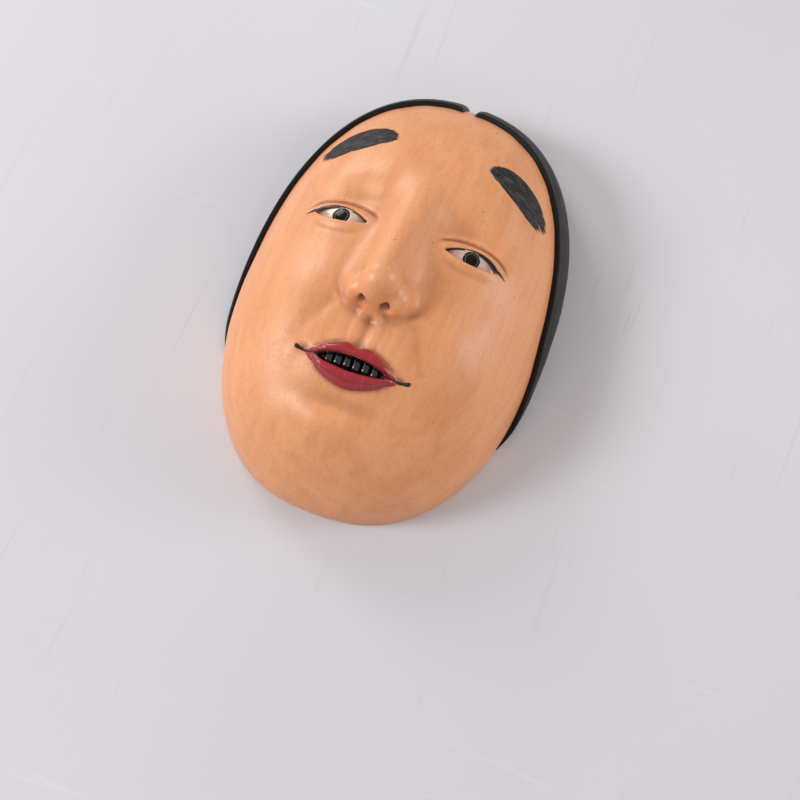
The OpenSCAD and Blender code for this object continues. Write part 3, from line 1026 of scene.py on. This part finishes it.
def brow(side_name, side):
    """A dab of ink: one thin ribbon for each bristle of a dry brush."""
    rng = np.random.default_rng(31 if side > 0 else 32)
    ribbons, flows = [], []
    for k in range(BRISTLES):
        v = mix(-0.97, 0.97, (k + rng.uniform(-0.4, 0.4)) / (BRISTLES - 1))
        v = float(np.clip(v, -0.97, 0.97))
        reach = 0.5 * (1 - abs(v) ** 2.4) ** (1 / 2.4)
        start = 0.5 - reach + 0.025 * rng.random() ** 2
        stop = 0.5 + reach - 0.13 * rng.random() ** 3
        t = np.linspace(start, stop, 40)
        centre = mix(BROW_INNER, BROW_OUTER, t[:, None])
        centre[:, 1] += 0.8 * (1 - (2 * t - 1) ** 2)
        wander = 0.05 * value_noise(t * 6, 100 + k) + 0.02 * value_noise(t * 17, 300 + k)
        middle = centre + BROW_ACROSS * (v * BROW_HALF + wander)[:, None]
        width = 0.075 * np.clip(np.minimum(t - start, stop - t) / 0.05, 0.08, 1)
        width *= 1 + 0.25 * value_noise(t * 11, 500 + k)
        spread = np.array([-1, -0.5, 0, 0.5, 1])
        plan = middle[:, None] + BROW_ACROSS * (spread[None, :] * width[:, None])[..., None]
        crown = 0.030 * (1 - spread**2)[None, :] * (width / 0.075)[:, None] + 0.006
        ribbons.append(film(plan, crown + 0.008 * rng.random(), sink=0.05))
        flows.append(stroke_flow(t[:, None] * 7, v * BROW_HALF + spread[None, :] * 0.07))
    points, faces = mirrored(*merge(ribbons), side)
    name, node = f"brow_brushed_{side_name}", f"brow_{side_name}"
    flow = np.concatenate(flows)
    make_piece(name, points, faces, BRUSH_INK, node, "black_ink", flow=flow)


# -------- eyes
EYE_BALL = 4.4
EYE_CROWN = -0.25
IRIS_RADIUS = 0.85
IRIS_PROUD = 0.06


def ball_drop(radius):
    return EYE_BALL - np.sqrt(EYE_BALL**2 - radius**2)


def polar_plug(edge, inner_radius, top, bottom, rings, spokes):
    """A plug whose edge lies edge(angle) from its middle; inner_radius of 0 closes it."""
    angle = np.linspace(0, 2 * np.pi, spokes, endpoint=False)
    outer_radius = edge(angle)
    r = inner_radius + (outer_radius - inner_radius)[:, None] * np.linspace(0, 1, rings)[None, :]
    x = r * np.cos(angle)[:, None]
    y = r * np.sin(angle)[:, None]
    upper = np.stack([x, y, top(r)], -1)
    lower = np.stack([x, y, np.full_like(r, bottom)], -1)
    points = np.concatenate([upper.reshape(-1, 3), lower.reshape(-1, 3)])
    count = spokes * rings
    faces = []
    for i in range(spokes):
        j = (i + 1) % spokes
        for k in range(rings - 1):
            a, b = i * rings + k, j * rings + k
            faces.append((a, a + 1, b + 1, b))
            faces.append((a + count, b + count, b + 1 + count, a + 1 + count))
        for k, flip in ((rings - 1, False), (0, True)):
            wall = (i * rings + k, i * rings + k + count, j * rings + k + count, j * rings + k)
            faces.append(tuple(reversed(wall)) if flip else wall)
    return points, faces


def almond_edge(angle):
    """Distance from the middle of the eye to its almond edge, grown under the lids."""
    r = np.linspace(0.3, EYE_HALF + 0.3, 240)[:, None]
    inside = lens_distance(r * np.cos(angle), r * np.sin(angle), EYE_HALF, LID_RISE, LID_FALL)
    return r[np.argmax(inside > 0.06, axis=0), 0]


def eye(side_name, side):
    def top(r):
        return EYE_CROWN - 0.5 * ball_drop(r)

    points, faces = polar_plug(almond_edge, IRIS_RADIUS + 0.01, top, -POCKET_DEPTH, 14, 144)
    # Painted shade for the bone, growing towards the corners of the eye.
    corner = ramp((np.abs(points[:, 0]) - 1.2) / 1.5)
    placed, turned = mirrored(eye_frame.to_world(points), faces, side)
    name, node = f"eye_bone_{side_name}", f"eye_white_{side_name}"
    make_piece(name, placed, turned, BONE, node, "bone", cavity=corner)

    def iris_edge(angle):
        return np.minimum(almond_edge(angle), IRIS_RADIUS)

    def iris_top(r):
        return EYE_CROWN + IRIS_PROUD - 1.3 * ball_drop(r)

    points, faces = polar_plug(iris_edge, 0.02, iris_top, -POCKET_DEPTH + 0.4, 16, 96)
    ring = np.hypot(points[:, 0], points[:, 1])
    placed, turned = mirrored(eye_frame.to_world(points), faces, side)
    name, node = f"iris_horn_{side_name}", f"iris_{side_name}"
    make_piece(name, placed, turned, HORN, node, "horn", ring=ring)


LINER_TAIL = 0.9
LINER_WIDTH = 0.44
LINER_STEPS = 90


def eyeliner(side_name, side):
    """Ink along the upper lid, thickest past its middle, and on past the outer corner."""
    t = np.linspace(0, 1, LINER_STEPS)
    lx = mix(-EYE_HALF - 0.1, EYE_HALF + LINER_TAIL, t)
    past = np.maximum(0, lx - EYE_HALF)
    ly = arc_height(np.clip(lx, -EYE_HALF, EYE_HALF), EYE_HALF, LID_RISE) - 0.28 * past
    width = LINER_WIDTH * np.clip(bow(2 * t - 1, 1.6), 0.10, 1) * (0.65 + 0.6 * t)
    width *= 1 + 0.06 * value_noise(t * 14, 900)
    spread = np.linspace(0, 1, 7)
    local_y = ly[:, None] - 0.07 * (past == 0)[:, None] + spread[None, :] * width[:, None]
    local = np.stack(np.broadcast_arrays(lx[:, None], local_y, 0.0), -1)
    plan = eye_frame.to_world(local)[..., :2]
    crown = 0.035 * (1 - (2 * spread - 1) ** 4)[None, :] + 0.008
    points, faces = mirrored(*film(plan, crown * np.ones((LINER_STEPS, 1)), sink=0.26), side)
    name, node = f"eyeliner_brushed_{side_name}", f"eyeliner_{side_name}"
    make_piece(name, points, faces, LINER_INK, node, "black_ink")


# -------- mouth
def mouth_plan(lx, ly):
    local = np.stack(np.broadcast_arrays(lx, ly, 0.0), -1)
    return mouth_frame.to_world(local)[..., :2]


def lip(name, direction, border):
    t = np.linspace(-1, 1, 150)[:, None]
    v = np.linspace(0, 1, 26)[None, :]
    x = t * MOUTH_WIDTH / 2
    wobble = 0.02 * value_noise(x * 2.2 + 40, 700 + direction)
    edge = slot_edge(x) - 0.05
    y = direction * mix(edge, border(x) + wobble, v)
    crown = 0.060 * np.clip(1 - np.abs(2 * v - 1) ** 8, 0, 1) * bow(t, 10) + 0.025
    points, faces = film(mouth_plan(x, y), crown, sink=0.45)
    flow = stroke_flow(v * 1.3 + 0.15 * t**2, x)
    make_piece(f"{name}_lacquer", points, faces, RED, name, "red_lacquer", flow=flow)


def mouth_lining():
    """Black cup that lines the slot of the mouth."""
    t = np.linspace(-0.999, 0.999, 90)
    x = t * (SLOT_WIDTH / 2 + 0.08)
    cup = [(-1.0, -1.45), (-0.5, -1.55), (0.0, -1.57), (0.5, -1.55), (1.0, -1.45)]
    outer, inner = [], []
    for a, top in zip(x, 0.05 + 0.22 * bow(t, 2)):
        profile = [(-1.0, top)] + cup + [(1.0, top)]
        outer.append([(a, e * (slot_edge(a) - 0.01), z) for e, z in profile])
        inner.append([(a * 0.985, e * (slot_edge(a) + 0.09), z - 0.04) for e, z in profile])
    outer, inner = np.array(outer), np.array(inner)
    points, faces = closed_skin(outer, inner)
    placed = mouth_frame.to_world(points)
    make_piece("mouth_lining_lacquer", placed, faces, BLACK, "mouth_lining", "black_lacquer")


CORNER_STEPS = 40
CORNER_LENGTH = 2.5


def mouth_corners():
    """Ink that carries the slit past the lips to a rounded end."""
    parts = []
    for _, side in SIDES:
        t = np.linspace(0, 1, CORNER_STEPS)
        lx = SLOT_WIDTH / 2 - 0.15 + CORNER_LENGTH * t
        ly = 0.02 + 0.34 * t**1.6
        half = 0.16 * np.clip((1 - t) / 0.04, 0.02, 1) ** 0.5 * (0.85 + 0.4 * ramp((t - 0.70) / 0.2))
        spread = np.linspace(-1, 1, 7)
        plan = mouth_plan(lx[:, None], ly[:, None] + spread[None, :] * half[:, None])
        crown = (0.06 * (1 - spread**4)[None, :] + 0.03) * np.ones((CORNER_STEPS, 1))
        parts.append(mirrored(*film(plan, crown, sink=0.12), side))
    points, faces = merge(parts)
    make_piece(
        "mouth_corners_ink", points, faces, CORNER_INK, "mouth_corners", "black_lacquer"
    )


TOOTH_SHARE = 0.80
TOOTH_HALF_HEIGHT = 0.62
TOOTH_HALF_DEPTH = 0.50
TOOTH_LEVEL = -0.72


def signed_power(value, power):
    return np.sign(value) * np.abs(value) ** power


def tooth(x0, half_width_x, lift):
    """A rounded block, drawn as a superellipsoid with a small flat at each end."""
    a = np.linspace(-1.55, 1.55, 25)[:, None]
    b = np.linspace(-np.pi, np.pi, 48, endpoint=False)[None, :]
    x = half_width_x * signed_power(np.cos(a), 0.6) * signed_power(np.cos(b), 0.5)
    y = TOOTH_HALF_HEIGHT * signed_power(np.cos(a), 0.6) * signed_power(np.sin(b), 0.5)
    z = TOOTH_HALF_DEPTH * signed_power(np.sin(a), 0.75) * np.ones_like(b)
    back = TOOTH_LEVEL - 0.05 * x0**2
    points = np.stack([x + x0, y + lift, z + back], -1).reshape(-1, 3)
    return mouth_frame.to_world(points), tube_faces(len(a), b.size)


def teeth():
    """Blackened teeth, each of its own width and height."""
    rng = np.random.default_rng(5)
    pitch = SLOT_WIDTH * TOOTH_SHARE / TOOTH_COUNT
    parts = []
    for i in range(TOOTH_COUNT):
        x0 = pitch * (i - (TOOTH_COUNT - 1) / 2)
        half_width_x = pitch * rng.uniform(0.43, 0.47)
        lift = 0.18 + rng.uniform(-0.04, 0.04) - 0.05 * abs(x0)
        parts.append(tooth(x0, half_width_x, lift))
    points, faces = merge(parts)
    make_piece("teeth_blackened", points, faces, BLACK, "teeth", "black_lacquer")


# -------- cord bar
BAR_RINGS = 121
BAR_SPOKES = 64


def cord_bar():
    """Turned bar, worn a little thinner in the middle where a cord would run."""
    stations = np.linspace(-1, 1, BAR_RINGS)
    ring = np.linspace(0, 2 * np.pi, BAR_SPOKES, endpoint=False)
    wear = 0.10 * np.exp(-((stations / 0.35) ** 2)) + 0.012 * value_noise(stations * 14 + 20, 41)
    radius = BAR_RADIUS - 0.01 - wear
    points = np.stack(
        [
            np.broadcast_to((stations * BAR_HALF)[:, None], (BAR_RINGS, BAR_SPOKES)),
            BAR_Y + radius[:, None] * np.cos(ring)[None, :],
            BAR_Z + radius[:, None] * np.sin(ring)[None, :],
        ],
        -1,
    ).reshape(-1, 3)
    faces = tube_faces(BAR_RINGS, BAR_SPOKES)
    # The bar gets none of the painted shade.
    no_darkening = np.zeros(len(points))
    make_piece("cord_bar_turned", points, faces, WOOD, "cord_bar", "boxwood", cavity=no_darkening)


mask_body()
for side_name, side in SIDES:
    hair(side_name, side)
    brow(side_name, side)
    eye(side_name, side)
    eyeliner(side_name, side)
lip("lip_upper", 1, upper_border)
lip("lip_lower", -1, lower_border)
mouth_lining()
mouth_corners()
teeth()
cord_bar()

# -------- stage
CAMERA_AZIMUTH = math.radians(21.0)
CAMERA_ELEVATION = math.radians(67.5)
CAMERA_DISTANCE = 0.197
CAMERA_TARGET = (0.0036, -0.0089, 0.0)
LENS = 90.0
SENSOR = 36.0


FLOOR_HALF = 0.8
FLOOR_Z = -0.02 * MM
WORLD_COLOUR = (1.0, 0.955, 0.945, 1.0)
WORLD_STRENGTH = 0.42


def floor():
    half = FLOOR_HALF
    mesh = bpy.data.meshes.new("floor")
    corners = [(-half, -half, 0), (half, -half, 0), (half, half, 0), (-half, half, 0)]
    mesh.from_pydata(corners, [], [(0, 1, 2, 3)])
    mesh.materials.append(pale_floor())
    piece = bpy.data.objects.new("floor", mesh)
    piece.location.z = FLOOR_Z
    bpy.context.scene.collection.objects.link(piece)


def aim(thing, place, target):
    """Puts a camera or light at place, looking at target."""
    thing.location = place
    thing.rotation_euler = (Vector(target) - Vector(place)).to_track_quat("-Z", "Y").to_euler()


def camera():
    data = bpy.data.cameras.new("camera")
    data.lens = LENS
    data.sensor_width = SENSOR
    data.clip_start = 0.01
    thing = bpy.data.objects.new("camera", data)
    bpy.context.scene.collection.objects.link(thing)
    back = np.array(
        [
            math.sin(CAMERA_AZIMUTH) * math.cos(CAMERA_ELEVATION),
            -math.cos(CAMERA_AZIMUTH) * math.cos(CAMERA_ELEVATION),
            math.sin(CAMERA_ELEVATION),
        ]
    )
    aim(thing, tuple(np.array(CAMERA_TARGET) + CAMERA_DISTANCE * back), CAMERA_TARGET)
    bpy.context.scene.camera = thing


def soft_light(name, right, up, height, size, watts, colour=(1.0, 1.0, 1.0)):
    """A square light placed right of, beyond and over the mask as the camera sees it."""
    data = bpy.data.lights.new(name, "AREA")
    data.size = size
    data.energy = watts
    data.color = colour
    thing = bpy.data.objects.new(name, data)
    bpy.context.scene.collection.objects.link(thing)
    a = CAMERA_AZIMUTH
    x = right * math.cos(a) - up * math.sin(a)
    y = right * math.sin(a) + up * math.cos(a)
    aim(thing, (x, y, height), (0.0, 0.0, 0.008))


def studio():
    world = bpy.data.worlds.new("studio")
    world.use_nodes = True
    background = world.node_tree.nodes["Background"]
    background.inputs["Color"].default_value = WORLD_COLOUR
    background.inputs["Strength"].default_value = WORLD_STRENGTH
    bpy.context.scene.world = world
    soft_light("key", -0.36, 0.0, 0.27, 0.14, 1.02, (0.97, 0.985, 1.0))
    soft_light("back_left", -0.18, 0.31, 0.20, 0.14, 0.48)
    soft_light("right_fill", 0.36, 0.0, 0.15, 0.14, 0.48, (1.0, 0.98, 0.96))
    soft_light("chin_light", 0.02, -0.34, 0.30, 0.05, 0.08)


floor()
camera()
studio()
bpy.context.scene.view_settings.view_transform = "Standard"
